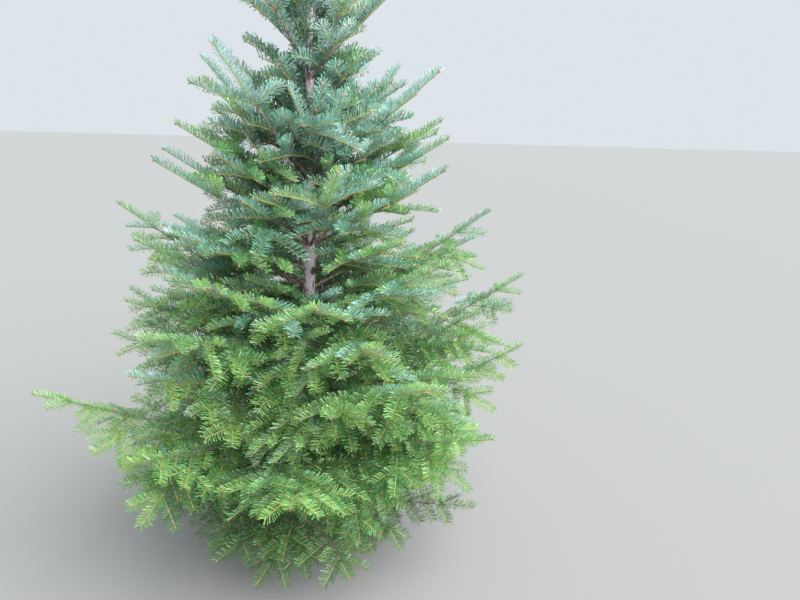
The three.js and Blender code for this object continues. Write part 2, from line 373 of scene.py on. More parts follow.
@dataclass(frozen=True)
class MottledFinish:
    """Thin bark or bud scales, mottled by one noise through three colours from low to high."""

    name: str
    colours: tuple[Colour, Colour, Colour]
    grain: Grain
    depth: float
    roughness: float
    places: tuple[float, float, float] = (0.34, 0.50, 0.66)
    bump_strength: float = 0.4
    rough_grain: float = 0.15
    coat: float = 0.0

    def make(self) -> bpy.types.Material:
        """Makes the material.

        Returns:
            The material.
        """
        shader = Shader(self.name)
        grain = shader.noise(self.grain)
        return shader.finish(
            Base_Color=shader.ramp(grain, self.places, self.colours),
            Roughness=self.roughness + self.rough_grain * grain,
            Coat_Weight=self.coat,
            Normal=shader.bump(grain, self.bump_strength, self.depth),
        )


FLOOR = PlainFinish("studio_floor", (0.30, 0.30, 0.293), 0.9, 0.5)
BOUGH_BARK = MottledFinish(
    name="fir_bough_bark",
    colours=((0.130, 0.090, 0.068), (0.310, 0.235, 0.190), (0.520, 0.440, 0.380)),
    grain=Grain(120.0, 4.0),
    depth=0.0008,
    roughness=0.74,
)
OLD_TWIG_BARK = MottledFinish(
    name="fir_old_twig_bark",
    colours=((0.140, 0.100, 0.052), (0.300, 0.235, 0.120), (0.430, 0.355, 0.205)),
    grain=Grain(240.0, 4.0),
    depth=0.0004,
    roughness=0.70,
)
YOUNG_TWIG_BARK = MottledFinish(
    name="fir_young_twig_bark",
    colours=((0.250, 0.212, 0.062), (0.415, 0.380, 0.105), (0.545, 0.515, 0.180)),
    grain=Grain(300.0, 4.0),
    depth=0.0002,
    roughness=0.55,
)
BUD_RESIN = MottledFinish(
    name="fir_bud_resin",
    colours=((0.360, 0.150, 0.070), (0.640, 0.330, 0.190), (0.800, 0.640, 0.540)),
    grain=Grain(420.0, 3.0),
    depth=0.0003,
    roughness=0.30,
    places=(0.34, 0.50, 0.68),
    bump_strength=0.5,
    rough_grain=0.25,
    coat=0.5,
)


class Tint(Enum):
    """Greens of the sprays: the colours of a needle's upper face and of its underside."""

    FRESH = ((0.154, 0.385, 0.104), (0.370, 0.545, 0.410))
    LEAF = ((0.106, 0.316, 0.094), (0.315, 0.490, 0.365))
    # The next two greens are painted shade: darker copies of the leaf green and of the teal, the second bluer
    # like shade under the sky. They go to the least pale shoots, inside the crown and near the ground.
    DEEP = ((0.060, 0.190, 0.055), (0.155, 0.280, 0.165))
    DUSK = ((0.082, 0.215, 0.125), (0.170, 0.300, 0.210))
    TEAL = ((0.118, 0.345, 0.200), (0.330, 0.535, 0.470))
    # Partly the needles' own silvery bloom, partly a painted highlight, as it goes to the palest shoots high
    # on the crown's outside.
    SILVER = ((0.190, 0.455, 0.305), (0.480, 0.685, 0.650))


@dataclass(frozen=True)
class NeedleFace:
    """One kind of needle face. Its colour is its tint's own, times the factors, plus the extras."""

    suffix: str
    underside: bool
    roughness: float
    specular: float
    factors: Colour = (1.0, 1.0, 1.0)
    extras: Colour = (0.0, 0.0, 0.0)

    def finish(self, tint: Tint) -> PlainFinish:
        """The face's finish in a tint."""
        channels = zip(tint.value[self.underside], self.factors, self.extras)
        return PlainFinish(
            f"needle_{tint.name.lower()}{self.suffix}",
            tuple(own * factor + extra for own, factor, extra in channels),
            self.roughness,
            self.specular,
        )


NEEDLE_FACES = (
    NeedleFace("", False, 0.33, 0.65),
    # A paler copy of each green: a painted highlight for the needles on the lit crest of a twig.
    NeedleFace("_paler", False, 0.28, 0.90, factors=(2.05, 1.40, 1.90)),
    # A yellower copy of each green: painted light shining through the needles at the twig's sides.
    NeedleFace("_warmer", False, 0.33, 0.65, factors=(1.35, 1.04, 0.60), extras=(0.03, 0.01, 0.0)),
    NeedleFace("_under", True, 0.55, 0.4),
)


# Meshes


@dataclass
class MeshData:
    """Points and faces gathered for one piece."""

    points: list[np.ndarray] = field(default_factory=list)
    faces: list[np.ndarray] = field(default_factory=list)
    slots: list[np.ndarray] = field(default_factory=list)
    count: int = 0

    def add(self, points: np.ndarray, *groups: tuple[np.ndarray, int]) -> None:
        """Adds points, and faces that name them from 0.

        Args:
            points: Points, one row each.
            *groups: Faces of one corner count, one row each, and the material slot they take.
        """
        for faces, slot in groups:
            self.faces.append(faces + self.count)
            self.slots.append(np.full(len(faces), slot, np.int32))
        self.points.append(points)
        self.count += len(points)

    def to_object(self, name: str, finishes: Sequence[object], smooth: bool) -> bpy.types.Object:
        """Makes the object at the origin.

        Args:
            name: Object and mesh name.
            finishes: Finishes of the material slots, in order.
            smooth: Whether faces are shaded smooth.

        Returns:
            The object.
        """
        points = np.concatenate(self.points)
        loops = np.concatenate([faces.ravel() for faces in self.faces]).astype(np.int32)
        sizes = np.concatenate([np.full(len(faces), faces.shape[1], np.int32) for faces in self.faces])
        starts = np.concatenate(([0], np.cumsum(sizes)[:-1])).astype(np.int32)
        mesh = bpy.data.meshes.new(name)
        mesh.vertices.add(len(points))
        mesh.vertices.foreach_set("co", points.astype(np.float32).ravel())
        mesh.loops.add(len(loops))
        mesh.loops.foreach_set("vertex_index", loops)
        mesh.polygons.add(len(sizes))
        mesh.polygons.foreach_set("loop_start", starts)
        mesh.polygons.foreach_set("material_index", np.concatenate(self.slots))
        mesh.polygons.foreach_set("use_smooth", np.full(len(sizes), smooth))
        for finish in finishes:
            mesh.materials.append(finish.make())
        mesh.update(calc_edges=True)
        mesh.validate()
        made = bpy.data.objects.new(name, mesh)
        bpy.context.scene.collection.objects.link(made)
        LOG.info("%s: %d triangles", name, int(np.sum(sizes - 2)))
        return made

    def to_piece(
        self, name: str, finishes: Sequence[object], smooth: bool, nodes: Sequence[str] = ()
    ) -> None:
        """Makes a piece of the tree, which rides on its body.

        Args:
            name: Piece name.
            finishes: Finishes of the mesh's material slots, in order.
            smooth: Whether faces are shaded smooth.
            nodes: The nodes that it stands for.
        """
        piece = self.to_object(name, finishes, smooth)
        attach(piece, BODY)
        if nodes:
            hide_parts(*nodes)


def add_tubes(
    data: MeshData, centres: np.ndarray, radii: np.ndarray, ups: np.ndarray, level: bool = False
) -> None:
    """Adds closed tubes along paths.

    Ring j of tube i is its centre + radius (cos a U + sin a S), where U is the up vector made square
    to the path and S is square to both. Both ends are closed by one face.

    Args:
        data: Where the tubes go.
        centres: Ring centres, tubes by rings by 3.
        radii: Radii, tubes by rings by sides.
        ups: One up vector for each tube.
        level: Whether rings lie level, whatever the path's slant.
    """
    tubes, rings, sides = radii.shape
    along = np.broadcast_to(UP, centres.shape) if level else unit(np.gradient(centres, axis=1))
    over = upright(np.broadcast_to(ups[:, None, :], along.shape), along)
    points = (centres[:, :, None, :] + ring(over, along, sides) * radii[..., None]).reshape(-1, 3)
    first = (np.arange(tubes) * rings * sides)[:, None, None]
    row = (np.arange(rings - 1) * sides)[None, :, None]
    here = np.arange(sides)[None, None, :]
    after = (here + 1) % sides
    corners = (here, after, sides + after, sides + here)
    quads = np.stack([first + row + corner for corner in corners], axis=-1).reshape(-1, 4)
    foot = first[:, 0] + np.arange(sides)[::-1]
    tip = first[:, 0] + (rings - 1) * sides + np.arange(sides)
    data.add(points, (quads, 0), (foot, 0), (tip, 0))


def add_spindles(
    data: MeshData,
    feet: np.ndarray,
    axes: np.ndarray,
    overs: np.ndarray,
    lengths: np.ndarray,
    radii: np.ndarray,
    sides: int,
) -> None:
    """Adds closed spindles, pointed at both ends and widest a third of the way up.

    The belt stands at foot + axis length / 3 + radius (cos a U + sin a S), where U is square to the
    axis and S to both.

    Args:
        data: Where the spindles go.
        feet: Their feet, one row each.
        axes: Unit directions from foot to tip.
        overs: Unit vectors square to the axes.
        lengths: Length of each.
        radii: Radius of each one's belt.
        sides: Corners of the belt.
    """
    reach = axes * lengths[:, None]
    belt = (feet + reach / 3)[:, None, :] + ring(overs, axes, sides) * radii[:, None, None]
    tips = feet + reach
    points = np.concatenate([feet[:, None, :], belt, tips[:, None, :]], axis=1)
    here = 1 + np.arange(sides)
    after = 1 + (np.arange(sides) + 1) % sides
    lower = np.stack([after, here, np.zeros(sides, int)], axis=1)
    upper = np.stack([here, after, np.full(sides, sides + 1)], axis=1)
    first = ((sides + 2) * np.arange(len(feet)))[:, None, None]
    faces = (first + np.concatenate([lower, upper])).reshape(-1, 3)
    data.add(points.reshape(-1, 3), (faces, 0))


# The tree's form


@dataclass(frozen=True)
class TrunkForm:
    """Centre line and girth of the trunk, as in the part's source."""

    top: float = 1.985
    leader_tip: float = 2.35
    butt_radius: float = 0.031
    top_radius: float = 0.007
    flare_radius: float = 0.012
    flare_height: float = 0.060
    collar_swell: float = 0.0022
    collar_half_height: float = 0.022
    lean: float = 0.045
    lean_height: float = 1.3
    sweep: float = 0.014

    def centre(self, z: np.ndarray | float) -> np.ndarray:
        """Centre line: x = lean times smoothstep of the height, y = a half sine wave of the sweep.

        Args:
            z: Heights.

        Returns:
            Points, one row for each height.
        """
        z = np.asarray(z, float)
        held = np.minimum(z, self.top)
        x = self.lean * smoothstep(held / self.lean_height)
        y = self.sweep * np.sin(np.pi * held / self.top)
        return np.stack([x, y, z], axis=-1)

    def radius(self, z: np.ndarray, collars: Sequence[float]) -> np.ndarray:
        """Radius: an even taper, the root flare that dies away exponentially, and a bell at each whorl.

        Args:
            z: Heights.
            collars: Heights of the whorls.

        Returns:
            Radii.
        """
        taper = self.butt_radius + (self.top_radius - self.butt_radius) * z / self.top
        flare = self.flare_radius * np.exp(-z / self.flare_height)
        bells = sum(np.exp(-(((z - height) / self.collar_half_height) ** 2)) for height in collars)
        return taper + flare + self.collar_swell * bells


@dataclass(frozen=True)
class Habit:
    """How the twigs of one part of the crown grow.

    A year's shoot is as long as year. A bough first forks at the share first_fork of its reach. Side
    shoots get side_share of what their parent still grows, stand at fork_angle from it in degrees and
    fall by droop, and all bend up by tip_lift. The weaker shoots halfway along a year get the share
    between of a side shoot. A bough's root is stoutness times its reach in radius.
    """

    year: float
    first_fork: float
    side_share: float
    fork_angle: float
    droop: float
    tip_lift: float
    between: float
    stoutness: float


@dataclass(frozen=True)
class Whorl:
    """One year's ring of boughs. Each bough has a heading in degrees and a reach."""

    z: float
    rise: float
    curl: float
    habit: Habit
    boughs: tuple[tuple[float, float], ...] = ()

    def height(self, radius: np.ndarray | float) -> np.ndarray | float:
        """Height of the boughs at a distance r from the trunk: z + rise r + curl r^2."""
        return self.z + self.rise * radius + self.curl * radius * radius


SKIRT = Habit(0.105, 0.24, 0.60, 50, -0.14, -0.04, 0.50, 0.013)
LOWER = Habit(0.105, 0.24, 0.64, 50, -0.24, -0.03, 0.50, 0.013)
MIDDLE = Habit(0.118, 0.24, 0.66, 51, -0.10, -0.06, 0.48, 0.014)
WAIST = Habit(0.145, 0.26, 0.74, 54, 0.12, -0.12, 0.42, 0.013)
UPPER = Habit(0.145, 0.26, 0.74, 54, 0.12, -0.12, 0.42, 0.017)
CROWN = Habit(0.140, 0.54, 0.80, 50, 0.22, -0.08, 0.42, 0.021)
TOP = Habit(0.085, 0.40, 0.75, 50, 0.10, -0.02, 0.42, 0.028)
WHORLS = (
    Whorl(0.205, 0.05, 0.070, SKIRT, ((60, 0.56), (176, 0.59), (238, 0.46), (284, 0.53), (336, 0.61))),
    Whorl(0.400, 0.26, 0.105, LOWER, ((8, 0.815), (100, 0.70), (190, 0.79), (258, 0.60), (318, 0.70))),
    Whorl(0.600, 0.32, 0.107, LOWER, ((12, 0.815), (84, 0.70), (154, 0.67), (222, 0.60), (292, 0.72))),
    Whorl(0.835, 0.43, 0.120, MIDDLE, ((14, 0.66), (88, 0.64), (158, 0.66), (232, 0.56), (300, 0.58))),
    Whorl(1.080, 0.54, 0.128, WAIST, ((38, 0.50), (122, 0.50), (206, 0.455), (277, 0.46), (325, 0.445))),
    Whorl(1.285, 0.76, 0.114, UPPER, ((45, 0.44), (140, 0.44), (238, 0.43), (284, 0.31), (330, 0.395))),
    Whorl(1.600, 0.86, 0.280, CROWN, ((10, 0.29), (120, 0.29), (235, 0.29), (300, 0.28))),
    Whorl(1.945, 1.25, 0.670, TOP, ((70, 0.14), (160, 0.15), (250, 0.145), (340, 0.15))),
)
COLLARS = tuple(whorl.z for whorl in WHORLS)
OUTLINE_HEIGHTS = (0.10, 0.30, 0.60, 0.75, 0.97, 1.20, 1.45, 1.65, 1.80, 2.10)
OUTLINE_RADII = (0.45, 0.62, 0.78, 0.75, 0.66, 0.54, 0.38, 0.34, 0.22, 0.10)
SURFACE_SHARE = 0.92
TRUNK = TrunkForm()


def whorl_below(z: float) -> int:
    """Number of the highest whorl at or below a height, or 0 where there is none."""
    return max(index for index, collar in enumerate(COLLARS) if index == 0 or collar <= z)


@dataclass(frozen=True)
class BoughAxis:
    """Centre line of one bough, from the trunk's axis to its tip. Its heading is in radians."""

    whorl: Whorl
    heading: float
    reach: float

    def point(self, share: np.ndarray | float) -> np.ndarray:
        """Point at a share of the reach.

        Args:
            share: Shares, from 0 to 1.

        Returns:
            Points, one row for each share.
        """
        radius = np.asarray(share, float) * self.reach
        foot = TRUNK.centre(self.whorl.z)
        x = foot[0] + radius * math.cos(self.heading)
        y = foot[1] + radius * math.sin(self.heading)
        return np.stack([x, y, self.whorl.height(radius)], axis=-1)

    def tangent(self, share: float) -> np.ndarray:
        """Unit direction at a share of the reach, from the slope rise + 2 curl r."""
        slope = self.whorl.rise + 2 * self.whorl.curl * share * self.reach
        return unit(np.array([math.cos(self.heading), math.sin(self.heading), slope]))


@dataclass(frozen=True)
class Shoot:
    """One year's growth of a twig.

    It has grown for years, ends in buds where nothing grows on from it, belongs to a whorl, counted
    from 0, and is wooded where it lies on a bough's own wood.
    """

    start: np.ndarray
    along: np.ndarray
    bend: np.ndarray
    up: np.ndarray
    length: float
    years: int
    buds: int
    whorl: int
    wooded: bool

    def point(self, u: np.ndarray | float) -> np.ndarray:
        """Point at a share u of the length: start + along length u + bend u^2."""
        return self.start + self.along * self.length * u + self.bend * u * u


@dataclass(frozen=True)
class Window:
    """A stretch of the trunk, from low to high, that shows between the sprays from the camera."""

    low: float
    high: float
    half_width: float = 0.028
    eye: tuple[float, float, float] = CAMERA_PLACE
    samples: int = 6
    first_sample: float = 0.15

    def hidden_by(self, shoot: Shoot) -> bool:
        """Tells whether a shoot would stand in the way.

        Points along the shoot are carried on from the eye, in straight lines, to the plane of the
        trunk. The shoot is in the way where one of them falls on the window.

        Args:
            shoot: The shoot.

        Returns:
            Whether it hides part of the window.
        """
        away = shoot.point(np.linspace(self.first_sample, 1.0, self.samples)[:, None]) - self.eye
        middle = TRUNK.centre((self.low + self.high) / 2)
        seen = self.eye + away * ((middle[1] - self.eye[1]) / away[:, 1:2])
        level = (seen[:, 2] > self.low) & (seen[:, 2] < self.high)
        beside = np.abs(seen[:, 0] - middle[0]) < self.half_width
        return bool(np.any(level & beside & (away[:, 1] < middle[1] - self.eye[1])))


WINDOWS = (Window(0.960, 1.010), Window(1.060, 1.110), Window(1.492, 1.603))


# Growth


@dataclass
class Growth:
    """Grows shoots by the forking rule: a leading shoot each year, with a pair of side shoots.

    The spreads say how far each thing may stray from the habit, as a share of it. No side axis forks
    more than most_orders times from its bough. Wood covers wood_share of a bough's forks.
    """

    random: np.random.Generator
    whorl: int
    habit: Habit
    most_orders: int
    angle_spread: float = 0.14
    length_spread: float = 0.14
    droop_spread: float = 0.5
    year_spread: float = 0.1
    bend_spread: float = 0.8
    wander: float = 0.05
    side_lift: float = 0.20
    side_roll: float = math.radians(26)
    prong_share: float = 0.22
    between_least: float = 0.080
    least_shoot: float = 0.040
    ground_clearance: float = 0.045
    wood_share: float = 0.6
    wood_margin: float = 0.02
    foot_share: float = 0.08
    bough_buds: int = 4
    twig_buds: int = 2
    shoots: list[Shoot] = field(default_factory=list)

    def either_way(self, spread: float) -> float:
        """A random number from -spread to spread."""
        return spread * self.random.uniform(-1.0, 1.0)

    def vary(self, spread: float) -> float:
        """A random factor from 1 - spread to 1 + spread."""
        return 1.0 + self.either_way(spread)

    def side_length(self, left: float) -> float:
        """Length of side shoots whose parent still grows by left: a share of that, and a bit of a year."""
        return self.habit.side_share * left + self.prong_share * self.habit.year

    def fork(self, along: np.ndarray, up: np.ndarray, sign: int) -> tuple[np.ndarray, np.ndarray]:
        """Direction and up vector of a side shoot.

        Args:
            along: Unit direction of the parent.
            up: Its up vector.
            sign: 1 for its left, -1 for its right.

        Returns:
            Unit direction and up vector, rolled a little about that direction.
        """
        angle = sign * math.radians(self.habit.fork_angle) * self.vary(self.angle_spread)
        lift = self.habit.droop * self.vary(self.droop_spread) + self.either_way(self.side_lift)
        direction = unit(turned(along, up, angle) + UP * lift)
        return direction, turned(upright(up, direction), direction, self.either_way(self.side_roll))

    def axis(self, start: np.ndarray, along: np.ndarray, up: np.ndarray, length: float, order: int) -> None:
        """Grows one side axis, year by year, with a pair of side shoots at the end of each year but the last.

        It stops where it would reach the ground or hide a window.

        Args:
            start: Where it leaves its parent.
            along: Its unit direction.
            up: Its up vector.
            length: Its whole length.
            order: How many forks it is from the bough.
        """
        years = max(1, round(length / self.habit.year))
        point, direction, left = start, along, length
        for year in range(years):
            last = year == years - 1
            step = left if last else left / (years - year) * self.vary(self.year_spread)
            lift = self.habit.tip_lift * UP * self.vary(self.bend_spread)
            bend = step * (lift + self.wander * self.random.uniform(-1, 1, 3))
            buds = self.twig_buds if last else 0
            shoot = Shoot(point, direction, bend, up, step, years - year, buds, self.whorl, False)
            point = shoot.point(1.0)
            if point[2] < self.ground_clearance or any(window.hidden_by(shoot) for window in WINDOWS):
                return
            self.shoots.append(shoot)
            left -= step
            direction = unit(direction * step + 2 * bend)
            up = upright(up, direction)
            if not last and order < self.most_orders:
                self.between(shoot, left, order + 1)
                self.pair(point, direction, up, self.side_length(left), order + 1)

    def pair(self, root: np.ndarray, along: np.ndarray, up: np.ndarray, length: float, order: int) -> None:
        """Grows a pair of side shoots.

        Args:
            root: Where they fork.
            along: Unit direction of the parent.
            up: Its up vector.
            length: Their length.
            order: How many forks they are from the bough.
        """
        for sign in (1, -1):
            own = max(length * self.vary(self.length_spread), self.least_shoot)
            direction, side_up = self.fork(along, up, sign)
            self.axis(root, direction, side_up, own, order)

    def between(self, shoot: Shoot, left: float, order: int) -> None:
        """Grows a weaker pair halfway along a year's shoot, where it is long enough.

        Args:
            shoot: The year's shoot.
            left: Length that its axis still grows beyond it.
            order: How many forks the pair is from the bough.
        """
        if shoot.length < self.between_least:
            return
        direction = unit(shoot.along * shoot.length + shoot.bend)
        length = self.habit.between * self.side_length(left + shoot.length / 2)
        self.pair(shoot.point(0.5), direction, upright(shoot.up, direction), length, order)

    def stretch(
        self, axis: BoughAxis, start: float, end: float, years: int, buds: int, wooded: bool
    ) -> Shoot:
        """Grows the bough's own shoot from one share of its reach to another.

        Args:
            axis: The bough's centre line.
            start: Share at its start.
            end: Share at its end.
            years: Years it has grown.
            buds: Buds at its end.
            wooded: Whether it lies on the bough's own wood.

        Returns:
            The shoot.
        """
        here, there = axis.point(start), axis.point(end)
        along = axis.tangent(start)
        step = float(np.linalg.norm(there - here))
        bend = there - here - along * step
        shoot = Shoot(here, along, bend, upright(UP, along), step, years, buds, self.whorl, wooded)
        self.shoots.append(shoot)
        return shoot

    def bough(self, axis: BoughAxis, forks: Sequence[float], needled_foot: bool) -> float:
        """Grows a whole bough: its own shoots from fork to fork, and a pair of side axes at each fork.

        Args:
            axis: The bough's centre line.
            forks: Shares of the reach at which it forks.
            needled_foot: Whether the wood between the trunk and the first fork still has its needles.

        Returns:
            Share of the reach at which its wood ends.
        """
        count = len(forks)
        wood_end = forks[min(count - 1, math.ceil(self.wood_share * count))]
        if needled_foot:
            self.stretch(axis, self.foot_share, forks[0], count, 0, True)
        for number, (share, end) in enumerate(zip(forks, [*forks[1:], 1.0])):
            last = number == count - 1
            buds = self.bough_buds if last else 0
            wooded = share < wood_end - self.wood_margin
            shoot = self.stretch(axis, share, end, count - number, buds, wooded)
            left = (1.0 - share) * axis.reach
            self.pair(shoot.start, shoot.along, shoot.up, self.side_length(left), 1)
            if not last:
                self.between(shoot, left - shoot.length, 1)
        return wood_end


@dataclass(frozen=True)
class ShootArrays:
    """Shoots as parallel arrays, one row for each shoot."""

    start: np.ndarray
    along: np.ndarray
    bend: np.ndarray
    up: np.ndarray
    length: np.ndarray
    years: np.ndarray
    buds: np.ndarray
    whorl: np.ndarray
    wooded: np.ndarray

    @classmethod
    def of(cls, shoots: Sequence[Shoot]) -> "ShootArrays":
        """Stacks shoots, one row each."""
        return cls(*(np.array([getattr(s, name) for s in shoots]) for name in cls.__dataclass_fields__))

    def where(self, mask: np.ndarray) -> "ShootArrays":
        """The shoots that a mask keeps."""
        return ShootArrays(*(getattr(self, name)[mask] for name in self.__dataclass_fields__))

    def joined(self, other: "ShootArrays") -> "ShootArrays":
        """These shoots, then the other ones."""
        names = self.__dataclass_fields__
        return ShootArrays(*(np.concatenate([getattr(self, name), getattr(other, name)]) for name in names))

    def points(self, owner: np.ndarray, u: np.ndarray) -> np.ndarray:
        """Points of the shoots named by owner, at shares u of their lengths.

        Args:
            owner: Shoot numbers.
            u: Shares, of the same shape.

        Returns:
            Points of that shape by 3.
        """
        u = u[..., None]
        reach = self.along[owner] * self.length[owner][..., None]
        return self.start[owner] + reach * u + self.bend[owner] * u * u

    def directions(self, owner: np.ndarray, u: np.ndarray) -> np.ndarray:
        """Unit directions of the shoots named by owner, at shares u of their lengths."""
        slope = self.along[owner] * self.length[owner][..., None] + 2 * self.bend[owner] * u[..., None]
        return unit(slope)

    def middles(self) -> np.ndarray:
        """Points halfway along the shoots, one row each."""
        every = np.arange(len(self.length))
        return self.points(every, np.full(len(every), 0.5))

    def outside(self) -> np.ndarray:
        """How far out each shoot stands, from 0 at the trunk to 1 on the crown's surface."""
        x, y, z = self.middles().T
        return smoothstep(np.hypot(x, y) / np.interp(z, OUTLINE_HEIGHTS, OUTLINE_RADII) / SURFACE_SHARE)


def numbered(counts: np.ndarray) -> tuple[np.ndarray, np.ndarray]:
    """Owner of each of the things that owners have, and its number among that owner's, from 0."""
    owner = np.repeat(np.arange(len(counts)), counts)
    return owner, np.arange(len(owner)) - np.repeat(np.cumsum(counts) - counts, counts)


# Sub-assemblies


class Band(Enum):
    """Heights of the crown: the whorls whose foliage goes into one set of pieces."""

    LOW = (0, 1)
    MIDDLE = (2, 3)
    HIGH = (4, 5, 6, 7)

    @classmethod
    def of(cls, whorl: int) -> "Band":
        """The band that holds a whorl."""
        return next(band for band in cls if whorl in band.value)

    def nodes(self, frame: dict) -> list[str]:
        """Names of the foliage nodes in this band.


        Returns:
            Node names.
        """
        names = tuple(f"foliage_whorl{whorl + 1}_" for whorl in self.value)
        found = [node for node in frame["nodes"] if node.startswith(names)]
        return sorted(found + (["foliage_leader"] if self is Band.HIGH else []))


@dataclass
class Trunk:
    """The trunk, with collars, resin blisters, wrinkles and a furrowed foot."""

    sides: int = 56
    ring_height: float = 0.0045
    inset: float = 0.0006
    least_relief: float = 0.3
    wrinkles: Lattice = Lattice(9, 11, 0.006)
    wrinkle_height: float = 0.0002
    blisters: Lattice = Lattice(16, 12, 0.012)
    blister_height: float = 0.0007
    blister_least: float = 0.45
    furrows: Lattice = Lattice(18, 13, 0.05)
    furrow_height: float = 0.0017
    furrow_top: float = 0.5
    ridges: Lattice = Lattice(12, 14, 0.004)
    ridge_height: float = 0.0009
    ridge_reach: float = 0.02
    finish: TrunkFinish = TrunkFinish()

    def relief(self, z: np.ndarray, around: np.ndarray) -> np.ndarray:
        """Height of the bark above the even trunk.

        Fine noise stretched round the trunk makes wrinkles, the tops of coarse noise make blisters,
        noise stretched along it makes furrows that fade out upwards, and fine noise wrinkles the
        collars.

        Args:
            z: Heights, one for each ring.
            around: Places round the trunk, from 0 to 1.

        Returns:
            Relief, rings by sides.
        """
        z = z[:, None]
        wrinkles = self.wrinkles.noise(around, z)
        tops = np.maximum(self.blisters.noise(around, z) - self.blister_least, 0.0)
        blisters = tops / (1.0 - self.blister_least)
        furrows = self.furrows.noise(around, z) * np.exp(-z / self.furrow_top)
        nearest = np.min(np.abs(z - np.array(COLLARS)), axis=1, keepdims=True)
        ridges = self.ridges.noise(around, z) * np.exp(-((nearest / self.ridge_reach) ** 2))
        relief = self.wrinkle_height * wrinkles + self.blister_height * blisters
        return relief + self.furrow_height * furrows + self.ridge_height * ridges

    def build(self) -> None:
        """Builds the trunk's piece, in place of its node. The relief is lower where the trunk is thin."""
        z = np.linspace(0.0, TRUNK.top, round(TRUNK.top / self.ring_height))
        around = np.arange(self.sides) / self.sides
        scale = np.clip(TRUNK.radius(z, ()) / TRUNK.butt_radius, self.least_relief, 1.0)[:, None]
        radii = TRUNK.radius(z, COLLARS)[:, None] - self.inset + self.relief(z, around) * scale
        data = MeshData()
        add_tubes(data, TRUNK.centre(z)[None], radii[None], FRONT[None], level=True)
        data.to_piece("trunk_bark", (self.finish,), True, ["trunk"])


